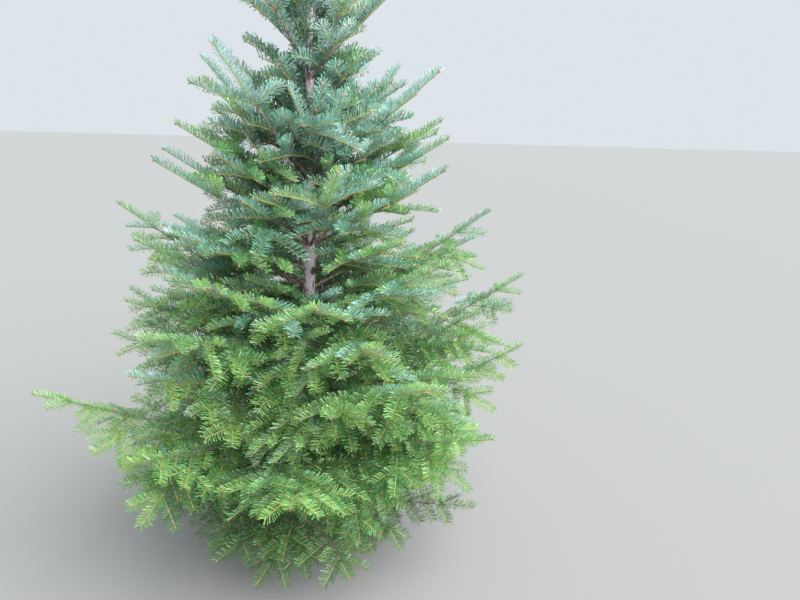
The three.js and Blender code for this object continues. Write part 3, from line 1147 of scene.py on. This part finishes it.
@dataclass
class Crown:
    """All boughs of the tree, grown out to their finest twigs.

    Besides the whorls, short inner boughs stand between them, the shortest ones fill the core, and
    extra boughs, each with its height, heading in degrees and reach, close gaps on all sides. Inner
    and core boughs are headed round the trunk by the golden angle, but none stands in the wedge round
    window_heading beside a window or above open_from. The streams keep the random numbers of each
    kind apart.
    """

    seed: int = 1201
    seed_step: int = 37
    dense_orders: int = 3
    short_orders: int = 2
    late_fork: float = 0.5
    needled_from: int = 5
    golden_angle: float = 137.5
    heading_spread: float = 15
    inner_stream: int = 7
    inner_boughs: tuple[int, ...] = (5, 7, 9, 9, 10, 15, 17)
    inner_stride: int = 3
    inner_spread: float = 0.3
    inner_low: float = 0.08
    inner_span: float = 0.84
    inner_rises: tuple[float, ...] = (0.62, 0.62, 0.62, 0.62, 0.75, 1.05, 1.25)
    inner_first: float = 265.0
    inner_run: float = 0.4
    inner_reach: tuple[float, float] = (0.64, 0.92)
    core_stream: int = 99
    core_boughs: int = 56
    core_places: tuple[float, float] = (0.2, 0.8)
    core_foot: float = 0.32
    core_top: float = 1.90
    core_reach: tuple[float, float] = (0.38, 0.64)
    core_rise: float = 0.9
    extra_stream: int = 55
    extra_boughs: tuple[tuple[float, float, float], ...] = (
        (0.25, 118, 0.48), (0.29, 22, 0.46), (0.34, 160, 0.42), (0.35, 262, 0.36), (0.76, 114, 0.56),
        (0.75, 76, 0.52), (0.82, 70, 0.46), (0.82, 203, 0.47), (0.90, 62, 0.42), (0.875, 192, 0.50),
        (0.87, 284, 0.31), (0.90, 312, 0.34), (0.90, 236, 0.31), (1.12, 182, 0.42), (1.22, 196, 0.38),
        (1.17, 356, 0.42), (1.22, 9, 0.42), (1.24, 186, 0.31), (1.31, 205, 0.31), (1.63, 100, 0.26),
        (1.64, 52, 0.25),
    )
    window_heading: float = math.radians(270)
    window_half: float = math.radians(30)
    window_margin: float = 0.09
    open_from: float = 1.45
    axes: list[tuple[BoughAxis, float]] = field(default_factory=list)
    shoots: list[Shoot] = field(default_factory=list)

    def forks(self, axis: BoughAxis) -> list[float]:
        """Shares of the reach at which a bough forks, once a year from the first fork out.

        It forks at least twice, or once where its first fork stands late.

        Args:
            axis: The bough's centre line.

        Returns:
            Shares of the reach.
        """
        habit = axis.whorl.habit
        outer = 1.0 - habit.first_fork
        count = max(1 if outer < self.late_fork else 2, round(outer * axis.reach / habit.year))
        return [habit.first_fork + outer * number / count for number in range(count)]

    def add(
        self, random: np.random.Generator, index: int, axis: BoughAxis, orders: int, needled_foot: bool
    ) -> None:
        """Grows one bough, and keeps its shoots and its centre line, with the share where its wood ends.

        Args:
            random: Its random numbers.
            index: The whorl that it belongs to.
            axis: Its centre line.
            orders: How many times its side axes may fork.
            needled_foot: Whether it has needles from the trunk on.
        """
        growth = Growth(random, index, axis.whorl.habit, orders)
        self.axes.append((axis, growth.bough(axis, self.forks(axis), needled_foot)))
        self.shoots += growth.shoots

    def grow_whorl(self, index: int) -> None:
        """Grows the boughs of one whorl.

        Args:
            index: The whorl, from 0 for the lowest.
        """
        for number, (heading, reach) in enumerate(WHORLS[index].boughs):
            random = np.random.default_rng([self.seed + self.seed_step * index, number])
            axis = BoughAxis(WHORLS[index], math.radians(heading), reach)
            self.add(random, index, axis, self.dense_orders, index >= self.needled_from)

    def grow_inner(self, index: int) -> None:
        """Grows the short boughs that stand on the trunk between one whorl and the next.

        Their roots are spread evenly by the stride, and each reaches for a share of the crown's
        outline at the height that it has risen to after inner_run.

        Args:
            index: The lower whorl.
        """
        below, above = WHORLS[index], WHORLS[index + 1]
        random = np.random.default_rng([self.seed, index, self.inner_stream])
        count = self.inner_boughs[index]
        for number in range(count):
            stray = random.uniform(-self.inner_spread, self.inner_spread)
            share = ((self.inner_stride * number) % count + 0.5 + stray) / count
            z = below.z + (above.z - below.z) * (self.inner_low + self.inner_span * share)
            rise = self.inner_rises[index] * (below.rise + (above.rise - below.rise) * share)
            heading = self.heading(z, self.inner_first + self.golden_angle * number, random)
            outline = float(np.interp(z + self.inner_run * rise, OUTLINE_HEIGHTS, OUTLINE_RADII))
            reach = outline * random.uniform(*self.inner_reach)
            axis = BoughAxis(Whorl(z, rise, below.curl, below.habit), heading, reach)
            self.add(random, index, axis, self.short_orders, index >= self.needled_from - 1)

    def grow_core(self) -> None:
        """Grows the shortest boughs, which stand all up the trunk and fill the crown's middle."""
        random = np.random.default_rng([self.seed, self.core_stream])
        for number in range(self.core_boughs):
            share = (number + random.uniform(*self.core_places)) / self.core_boughs
            z = self.core_foot + (self.core_top - self.core_foot) * share
            index = whorl_below(z)
            below = WHORLS[index]
            heading = self.heading(z, self.golden_angle * number, random)
            reach = float(np.interp(z, OUTLINE_HEIGHTS, OUTLINE_RADII)) * random.uniform(*self.core_reach)
            axis = BoughAxis(Whorl(z, self.core_rise * below.rise, 0.0, below.habit), heading, reach)
            self.add(random, index, axis, self.short_orders, True)

    def grow_extra(self) -> None:
        """Grows the extra boughs, each as its nearest whorl below."""
        for number, (z, heading, reach) in enumerate(self.extra_boughs):
            random = np.random.default_rng([self.seed, number, self.extra_stream])
            index = whorl_below(z)
            below = WHORLS[index]
            axis = BoughAxis(Whorl(z, below.rise, below.curl, below.habit), math.radians(heading), reach)
            self.add(random, index, axis, self.dense_orders, True)

    def heading(self, z: float, degrees: float, random: np.random.Generator) -> float:
        """Heading of a short bough, strayed a little and turned aside from where the trunk shows.

        Args:
            z: Height of the bough's root.
            degrees: Its heading in degrees.
            random: Random numbers.

        Returns:
            The heading in radians, moved to the nearer edge of the open wedge if it fell inside it.
        """
        heading = math.radians(degrees + random.uniform(-self.heading_spread, self.heading_spread))
        off = math.remainder(heading - self.window_heading, math.tau)
        near = any(window.low - self.window_margin < z < window.high for window in WINDOWS)
        if abs(off) >= self.window_half or not (near or z > self.open_from):
            return heading
        return self.window_heading + math.copysign(self.window_half, off)

    def grow(self) -> ShootArrays:
        """Grows every bough.

        Returns:
            All shoots but the leader.
        """
        for index in range(len(WHORLS)):
            self.grow_whorl(index)
        for index in range(len(WHORLS) - 1):
            self.grow_inner(index)
        self.grow_core()
        self.grow_extra()
        LOG.info("%d shoots, %.1f m in all", len(self.shoots), sum(s.length for s in self.shoots))
        return ShootArrays.of(self.shoots)


@dataclass
class Boughs:
    """The wood of every bough, from the trunk to where its young shoots go on, with cracked bark."""

    axes: Sequence[tuple[BoughAxis, float]]
    sides: int = 10
    rings: int = 48
    short_sides: int = 6
    short_rings: int = 16
    shares: tuple[float, ...] = (0.0, 0.25, 0.5, 0.75, 1.0)
    girths: tuple[float, ...] = (1.0, 0.615, 0.42, 0.29, 0.17)
    least_radius: float = 0.0020
    crack_height: float = 0.07
    crack_seed: int = 21
    knots: Lattice = Lattice(3, 22)
    knot_steps: int = 9
    knot_height: float = 0.06
    finish: MottledFinish = BOUGH_BARK

    def add(self, data: MeshData, axes: Sequence[tuple[BoughAxis, float]], rings: int, sides: int) -> None:
        """Adds boughs as tubes.

        A ring's radius is stoutness times reach, times a girth that falls from root to tip, quicker
        near the trunk, times 1 + cracks + knots.

        Args:
            data: Where the tubes go.
            axes: Centre lines, and the share of each at which its wood ends.
            rings: Rings of each tube.
            sides: Sides of each tube.
        """
        share = np.linspace(0.0, 1.0, rings)
        centres = np.stack([axis.point(share * end) for axis, end in axes])
        roots = np.array([axis.whorl.habit.stoutness * axis.reach for axis, _ in axes])
        ends = np.array([end for _, end in axes])
        girth = np.interp(share * ends[:, None], self.shares, self.girths)
        radii = np.maximum(roots[:, None] * girth, self.least_radius)
        around = np.arange(sides) / sides
        cracks = Lattice(sides, self.crack_seed).noise(around, share[:, None] * rings)
        knots = self.knots.noise(around, share[:, None] * self.knot_steps)
        relief = 1.0 + self.crack_height * cracks + self.knot_height * knots
        add_tubes(data, centres, radii[..., None] * relief, np.broadcast_to(UP, (len(centres), 3)))

    def build(self, frame: dict) -> None:
        """Builds the boughs' piece, in place of the bough nodes.
        """
        data = MeshData()
        long = [pair for pair in self.axes if pair[0].whorl.boughs]
        short = [pair for pair in self.axes if not pair[0].whorl.boughs]
        self.add(data, long, self.rings, self.sides)
        self.add(data, short, self.short_rings, self.short_sides)
        nodes = sorted(node for node in frame["nodes"] if node.startswith("bough_"))
        data.to_piece("boughs_bark", (self.finish,), True, nodes)


@dataclass
class Twigs:
    """The wood of the side shoots, young and old, as slim three-sided tubes with a flat side up."""

    shoots: ShootArrays
    rings: int = 3
    sides: int = 3
    overlap: float = 0.02
    tip_girth: float = 0.75
    year_radii: tuple[float, ...] = (0.0017, 0.0020, 0.0023, 0.0026, 0.0030)

    def add(self, name: str, chosen: ShootArrays, finish: MottledFinish) -> None:
        """Makes one piece.

        Each tube runs on a little past both ends of its shoot. Its radius goes by the shoot's years,
        and falls evenly to tip_girth of that.

        Args:
            name: Piece name.
            chosen: Its shoots.
            finish: Its bark.
        """
        wide = np.array(self.year_radii)
        owner = np.arange(len(chosen.length))[:, None] + np.zeros(self.rings, int)
        u = np.broadcast_to(np.linspace(-self.overlap, 1.0 + self.overlap, self.rings), owner.shape)
        foot = wide[np.minimum(chosen.years, len(wide)) - 1]
        radii = foot[:, None] * np.linspace(1.0, self.tip_girth, self.rings)
        data = MeshData()
        add_tubes(data, chosen.points(owner, u), np.repeat(radii[..., None], self.sides, axis=2), -chosen.up)
        data.to_piece(name, (finish,), False)

    def build(self) -> None:
        """Builds the pieces of young twigs and of old twigs."""
        side = self.shoots.where(~self.shoots.wooded)
        self.add("twigs_young", side.where(side.years == 1), YOUNG_TWIG_BARK)
        self.add("twigs_old", side.where(side.years > 1), OLD_TWIG_BARK)


@dataclass
class Buds:
    """Resinous buds on the tips of the outer shoots: one on its end, and the others splayed round it.

    Their sizes go by whorl, and a part of their length, the whole divided by sunk_part, is in the twig.
    """

    shoots: ShootArrays
    length: float = 0.0072
    radius: float = 0.0024
    sides: int = 4
    splay: float = 0.60
    offset: float = 0.0022
    sunk_part: int = 5
    least_outside: float = 0.2
    sizes: tuple[float, ...] = (0.65, 0.65, 0.80, 0.90, 1.0, 1.0, 1.0, 1.0)
    finish: MottledFinish = BUD_RESIN

    def build(self) -> None:
        """Builds the buds' piece. A bud points along T + splay (cos a U + sin a S)."""
        tips = self.shoots.where((self.shoots.buds > 0) & (self.shoots.outside() > self.least_outside))
        owner, number = numbered(tips.buds)
        end = np.ones(len(owner))
        ends, along = tips.points(owner, end), tips.directions(owner, end)
        over = upright(tips.up[owner], along)
        across = np.cross(along, over)
        turn = 2 * np.pi * number / np.maximum(tips.buds[owner] - 1, 1) + owner
        outward = over * np.cos(turn)[:, None] + across * np.sin(turn)[:, None]
        lean = np.where(number == 0, 0.0, self.splay)[:, None]
        axis = unit(along + outward * lean)
        size = np.array(self.sizes)[tips.whorl[owner]]
        feet = ends + outward * (lean > 0) * self.offset - axis * self.length / self.sunk_part
        data = MeshData()
        side = upright(across, axis)
        add_spindles(data, feet, axis, side, self.length * size, self.radius * size, self.sides)
        data.to_piece("buds", (self.finish,), True)


@dataclass(frozen=True)
class Comb:
    """How needles stand on a twig.

    Rows stand on both sides, each by its angle in degrees from straight up, its slant from the
    twig's direction and its share of the full length. The blunt ends are as wide as width on the
    crown's surface. Where the needles are parted, those at the sides turn their faces up. Their
    number is crowding times that of an even twig.
    """

    fans: tuple[float, ...]
    slants: tuple[float, ...]
    lengths: tuple[float, ...]
    width: float
    parted: bool = True
    crowding: float = 1.0


COMBS = {
    Band.LOW: Comb((84, 58), (68, 62), (1.0, 0.90), 0.0022),
    Band.MIDDLE: Comb((78, 46, 70, 24), (70, 66, 68, 64), (1.0, 0.96, 1.0, 0.92), 0.0023),
    Band.HIGH: Comb((70, 36, 54, 16), (74, 70, 72, 68), (1.0, 1.0, 1.0, 0.98), 0.0026),
}
LEADER_COMB = Comb((18, 54, 90, 126, 162), (58,) * 5, (1.0,) * 5, 0.0024, parted=False, crowding=1.8)


@dataclass
class Needles:
    """Flat blunt needles in rows along both sides of every shoot, swept forward and parted above.

    A needle is a closed sliver of four points: two at its narrow heel on the twig, and two at its
    blunt end. One diagonal stands above the other, so its two upper faces meet in a low ridge. They
    are green, and its two lower faces have the pale bands. Needles are shorter at the start of a
    shoot, and shorter and swept forward at its end. The jitters are the spreads of chance.
    """

    heel_width: float = 0.0013
    heel_offset: float = 0.0008
    inner_width: float = 0.0042
    thickness: float = 0.0006
    lengths: tuple[float, ...] = (0.0245, 0.0245, 0.0245, 0.0250, 0.0262, 0.0275, 0.0275, 0.0260)
    per_metre: tuple[float, ...] = (760, 805, 835, 855, 905, 1020, 1080, 1240)
    inner_cover: float = 0.47
    age_thinning: float = 0.23
    least_cover: float = 0.22
    fewest: int = 6
    start_span: float = 0.12
    start_size: float = 0.72
    start_gain: float = 0.28
    end_from: float = 0.80
    end_span: float = 0.20
    end_loss: float = 0.22
    end_sweep: float = 0.42
    place_jitter: float = 0.14
    fan_jitter: float = 6.0
    slant_jitter: float = 4.0
    blade_jitter: float = 0.045
    face_jitter: float = 0.26
    size_jitter: float = 0.07
    width_jitter: float = 0.06
    # Shares of the needles that take the painted highlight, more of them on the twig's crest, and of those
    # that take the painted light shining through, more of them at its sides.
    pale_share: float = 0.11
    crest_share: float = 0.72
    warm_share: float = 0.44
    seed: int = 4409

    def counts(self, shoots: ShootArrays, outside: np.ndarray, crowding: float) -> np.ndarray:
        """Needles on each shoot: fewer inside the crown, and fewer with each year of its age.

        Args:
            shoots: The shoots.
            outside: How far out each stands.
            crowding: Factor of the number.

        Returns:
            Numbers of needles.
        """
        thinning = np.maximum(1.0 - self.age_thinning * (shoots.years - 1), self.least_cover)
        cover = self.inner_cover + (1.0 - self.inner_cover) * outside
        cover = np.array(self.per_metre)[shoots.whorl] * cover
        return np.maximum((shoots.length * cover * thinning * crowding).astype(int), self.fewest)

    def blades(self, shoots: ShootArrays, comb: Comb, seed: int) -> tuple[np.ndarray, np.ndarray]:
        """Works out the needles of the given shoots.

        A needle at share u of its shoot leaves it at an angle f from the up vector U and at an angle
        s from the shoot's direction T. With O = cos f U + sin f S, it points along
        D = cos s T + sin s O. Its upper face looks along sin s T - cos s O, and the more it stands to
        the side of a parted comb, the more that turns to U.

        Args:
            shoots: The shoots.
            comb: How their needles stand.
            seed: Seed of the small differences between needles.

        Returns:
            Points, needles by 4 by 3: heel left and right, then end right and left. And how far up
            each stands on its twig, from 0 at the side to 1 on top.
        """
        random = np.random.default_rng(seed)
        outside = shoots.outside()
        counts = self.counts(shoots, outside, comb.crowding)
        owner, order = numbered(counts)
        total = len(owner)
        # Two needles stand at each place, left and right, and the rows take turns.
        place = order // 2 + 0.5 + random.normal(0.0, self.place_jitter, total)
        u = np.clip(2 * place / counts[owner], 0.0, 1.0)
        row = (order // 2) % len(comb.fans)
        sign = np.where(order % 2 == 0, 1.0, -1.0)
        fan = np.radians(np.array(comb.fans)[row] + random.normal(0.0, self.fan_jitter, total))
        ending = smoothstep((u - self.end_from) / self.end_span)
        slant = np.radians(np.array(comb.slants)[row] + random.normal(0.0, self.slant_jitter, total))
        slant = (slant * (1.0 - self.end_sweep * ending))[:, None]
        # T, U, S and O as above, then D, with chance added
        along = shoots.directions(owner, u)
        over = upright(shoots.up[owner], along)
        across = np.cross(over, along) * sign[:, None]
        outward = over * np.cos(fan)[:, None] + across * np.sin(fan)[:, None]
        blade = along * np.cos(slant) + outward * np.sin(slant)
        blade = unit(blade + random.normal(0.0, self.blade_jitter, (total, 3)))
        turned_up = (np.sin(fan) ** 2 if comb.parted else np.zeros(total))[:, None]
        face = turned_up * over + (1.0 - turned_up) * (along * np.sin(slant) - outward * np.cos(slant))
        face = upright(face + random.normal(0.0, self.face_jitter, (total, 3)), blade)
        size = np.array(self.lengths)[shoots.whorl[owner]] * np.array(comb.lengths)[row]
        size = size * random.normal(1.0, self.size_jitter, total)
        starting = self.start_size + self.start_gain * smoothstep(u / self.start_span)
        size = size * (1.0 - self.end_loss * ending) * starting
        heel = shoots.points(owner, u) + outward * self.heel_offset
        broad = np.cross(blade, face) * random.normal(1.0, self.width_jitter, total)[:, None]
        width = (self.inner_width + (comb.width - self.inner_width) * outside)[owner, None]
        near, far = broad * self.heel_width / 2, broad * width / 2
        ridge = face * self.thickness / 2
        end = heel + blade * size[:, None]
        corners = [heel - near + ridge, heel + near - ridge, end + far + ridge, end - far - ridge]
        return np.stack(corners, axis=1), np.abs(np.cos(fan))

    def build(
        self, name: str, blades: np.ndarray, heights: np.ndarray, tint: Tint, nodes: Sequence[str]
    ) -> None:
        """Makes one piece of needles.

        Args:
            name: Piece name.
            blades: Points, needles by 4 by 3.
            heights: How far up each stands on its twig. The upper ones more often take the paler copy, a
            painted highlight, and those at the side more often the warmer copy, painted light shining
            through.
            tint: Their green.
            nodes: The nodes that the piece stands for.
        """
        first = 4 * np.arange(len(blades))[:, None, None]
        upper = np.array([[0, 1, 2], [0, 2, 3]])
        under = np.array([[0, 3, 1], [1, 3, 2]])
        chance = np.random.default_rng(self.seed).random(len(blades))
        # Painted light: needles high on the twig more often get the painted highlight, and those at its sides
        # the painted light shining through.
        pale = chance < self.pale_share + self.crest_share * heights * heights
        warm = chance > 1.0 - self.warm_share * (1.0 - heights)
        plain = ~(pale | warm)
        every = np.ones(len(blades), bool)
        kinds = ((plain, upper), (pale, upper), (warm, upper), (every, under))
        groups = [((first[mask] + faces).reshape(-1, 3), slot) for slot, (mask, faces) in enumerate(kinds)]
        data = MeshData()
        data.add(blades.reshape(-1, 3), *groups)
        data.to_piece(name, [face.finish(tint) for face in NEEDLE_FACES], False, nodes)


@dataclass(frozen=True)
class TintRule:
    """A green for the shoots that are bluer, paler and yellower than these, and less pale than most."""

    tint: Tint
    blue: float = -math.inf
    pale: float = -math.inf
    yellow: float = -math.inf
    most: float = math.inf


@dataclass
class Foliage:
    """Deals the shoots out to greens and bands, and makes their needles. Later rules win."""

    shoots: ShootArrays
    leader: ShootArrays
    needles: Needles = field(default_factory=Needles)
    most_needles: int = 49000
    band_step: int = 10
    leader_step: int = 99
    seed: int = 733
    # Painted shade on the shoots near the ground, and painted light on those at the crown's outside, both
    # carried by the shoots' paleness.
    low_shade: float = 0.86
    shade_height: float = 0.62
    crown_radius: float = 0.78
    crown_taper: float = 0.85
    pale_outside: float = 0.55
    pale_young: float = 0.30
    pale_spread: float = 0.16
    blue_spread: float = 0.09
    yellow_spread: float = 0.60
    patch_waves: tuple[tuple[float, ...], ...] = ((14, 0, 3, 0), (0, 13, -5, 2), (4, 0, 11, 0))
    # The palest shoots get the paler greens and the least pale ones get the darker greens, so these rules
    # paint light on the crown's outside and paint shade inside it and near the ground.
    rules: tuple[TintRule, ...] = (
        TintRule(Tint.LEAF),
        TintRule(Tint.FRESH, pale=0.72),
        TintRule(Tint.TEAL, blue=0.46, pale=0.42),
        TintRule(Tint.SILVER, blue=0.48, pale=0.72),
        TintRule(Tint.LEAF, blue=0.46, yellow=0.45),
        TintRule(Tint.FRESH, blue=0.46, yellow=0.55, pale=0.50),
        TintRule(Tint.DEEP, most=0.30),
        TintRule(Tint.DUSK, blue=0.42, most=0.34),
    )

    def tints(self) -> np.ndarray:
        """Gives each shoot a green.

        A shoot's paleness rises towards the crown's outside and falls near the ground, as painted light
        and painted shade, its blueness rises with height, and its yellowness comes in patches: the mean
        of sine waves of a x + b y + c z + d that cross the crown. Chance is added to each.

        Returns:
            The tint's number for each shoot.
        """
        random = np.random.default_rng(self.seed)
        x, y, z = self.shoots.middles().T
        count = len(z)
        height = z / TRUNK.leader_tip
        young = np.where(self.shoots.years == 1, 1.0, 0.0)
        outside = smoothstep(np.hypot(x, y) / (self.crown_radius * (1.0 - self.crown_taper * height)))
        # Painted shade: shoots near the ground are less pale, so they take darker greens.
        shade = self.low_shade * (1.0 - smoothstep(z / self.shade_height))
        blue = height + random.normal(0.0, self.blue_spread, count)
        pale = self.pale_outside * outside + self.pale_young * young - shade
        pale = pale + random.normal(0.0, self.pale_spread, count)
        waves = sum(np.sin(a * x + b * y + c * z + d) for a, b, c, d in self.patch_waves)
        yellow = waves / len(self.patch_waves) + random.normal(0.0, self.yellow_spread, count)
        tint = np.zeros(count, int)
        for rule in self.rules:
            chosen = (blue > rule.blue) & (yellow > rule.yellow) & (pale > rule.pale) & (pale < rule.most)
            tint[chosen] = list(Tint).index(rule.tint)
        return tint

    def build(self, frame: dict) -> None:
        """Makes the needle pieces, each in place of its band's foliage nodes.
        """
        tints = self.tints()
        bands = np.array([list(Band).index(Band.of(index)) for index in self.shoots.whorl])
        for number, band in enumerate(Band):
            nodes = band.nodes(frame)
            for code, tint in enumerate(Tint):
                chosen = self.shoots.where((bands == number) & (tints == code))
                if not len(chosen.length):
                    continue
                seed = self.needles.seed + self.band_step * number + code
                made = self.needles.blades(chosen, COMBS[band], seed)
                if band is Band.HIGH and tint is Tint.TEAL:
                    more = self.needles.blades(self.leader, LEADER_COMB, self.needles.seed + self.leader_step)
                    made = tuple(np.concatenate(both) for both in zip(made, more))
                blades, heights = made
                parts = math.ceil(len(blades) / self.most_needles)
                for part, some in enumerate(np.array_split(np.arange(len(blades)), parts)):
                    name = f"needles_{band.name.lower()}_{tint.name.lower()}_{part + 1}"
                    self.needles.build(name, blades[some], heights[some], tint, nodes)


@dataclass
class Leader:
    """The shoot on the trunk's tip."""

    radius: float = 0.0052
    taper: float = 0.55
    tip_room: float = 0.009
    rings: int = 24
    sides: int = 10
    buds: int = 5
    finish: MottledFinish = BOUGH_BARK

    def shoots(self) -> ShootArrays:
        """The leader as one shoot.

        Returns:
            One row.
        """
        foot = TRUNK.centre(TRUNK.top)
        length = TRUNK.leader_tip - TRUNK.top - self.tip_room
        shoot = Shoot(foot, UP, np.zeros(3), FRONT, length, 1, self.buds, len(WHORLS) - 1, False)
        return ShootArrays.of([shoot])

    def build(self) -> None:
        """Builds the leader's wood. Its radius falls evenly by taper towards the tip."""
        share = np.linspace(0.0, 1.0, self.rings)
        centres = self.shoots().points(np.zeros(self.rings, int), share)[None]
        radii = self.radius * (1.0 - self.taper * share)
        data = MeshData()
        add_tubes(data, centres, np.repeat(radii[None, :, None], self.sides, axis=2), FRONT[None])
        data.to_piece("leader_bark", (self.finish,), True)


# Studio


@dataclass(frozen=True)
class Camera:
    """A camera held at eye height, a little closer than the tree is tall, as in the photograph."""

    place: tuple[float, float, float] = CAMERA_PLACE
    pitch: float = 17.0
    yaw: float = 9.8
    roll: float = 2.0
    focal_pixels: float = 620.0
    frame_pixels: float = 800.0
    sensor: float = 36.0
    nearest: float = 0.01
    farthest: float = 100.0

    def build(self) -> None:
        """Makes the scene's camera, looking yaw to the right of +Y and pitch down, rolled about its view."""
        pitch, yaw, roll = (math.radians(angle) for angle in (self.pitch, self.yaw, self.roll))
        forward = Vector((math.sin(yaw) * math.cos(pitch), math.cos(yaw) * math.cos(pitch), -math.sin(pitch)))
        right = Vector((math.cos(yaw), -math.sin(yaw), 0.0))
        up = right.cross(forward)
        right, up = right * math.cos(roll) + up * math.sin(roll), up * math.cos(roll) - right * math.sin(roll)
        data = bpy.data.cameras.new("camera")
        data.sensor_width = self.sensor
        data.lens = self.sensor * self.focal_pixels / self.frame_pixels
        data.clip_start, data.clip_end = self.nearest, self.farthest
        camera = bpy.data.objects.new("camera", data)
        turn = Matrix((right, up, -forward)).transposed().to_4x4()
        camera.matrix_world = Matrix.Translation(self.place) @ turn
        bpy.context.scene.collection.objects.link(camera)
        bpy.context.scene.camera = camera


@dataclass(frozen=True)
class Studio:
    """A plain pale floor under soft light from above."""

    floor_size: float = 60.0
    sky: Colour = (0.88, 0.95, 1.0)
    sky_strength: float = 0.82
    key_strength: float = 5.6
    key_spread: float = math.radians(75)
    key_tilt: float = math.radians(42)
    key_heading: float = math.radians(47)

    def build(self) -> None:
        """Adds the floor, a wide soft lamp like an overcast sky's brightest part, and the sky."""
        half = self.floor_size / 2
        corners = np.array([[-half, -half, 0.0], [half, -half, 0.0], [half, half, 0.0], [-half, half, 0.0]])
        data = MeshData()
        data.add(corners, (np.array([[0, 1, 2, 3]]), 0))
        data.to_object("floor", (FLOOR,), smooth=False)
        lamp = bpy.data.lights.new("key_lamp", "SUN")
        lamp.energy, lamp.angle = self.key_strength, self.key_spread
        key = bpy.data.objects.new("key_lamp", lamp)
        key.rotation_euler = (self.key_tilt, 0.0, self.key_heading)
        bpy.context.scene.collection.objects.link(key)
        world = bpy.data.worlds.new("studio")
        bpy.context.scene.world = world
        world.use_nodes = True
        background = world.node_tree.nodes["Background"]
        background.inputs[0].default_value = (*self.sky, 1.0)
        background.inputs[1].default_value = self.sky_strength
        bpy.context.scene.view_settings.view_transform = "Standard"


def main(frame: dict) -> None:
    """Builds the studio and the tree in order. Each piece is logged as it is made.
    """
    Camera().build()
    Studio().build()
    Trunk().build()
    crown = Crown()
    shoots = crown.grow()
    Boughs(crown.axes).build(frame)
    leader = Leader()
    leader.build()
    Twigs(shoots).build()
    Buds(shoots.joined(leader.shoots())).build()
    Foliage(shoots, leader.shoots()).build(frame)


if __name__ == "__main__":
    logging.basicConfig(level=logging.INFO, format="%(message)s")
    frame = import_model()
    main(frame)
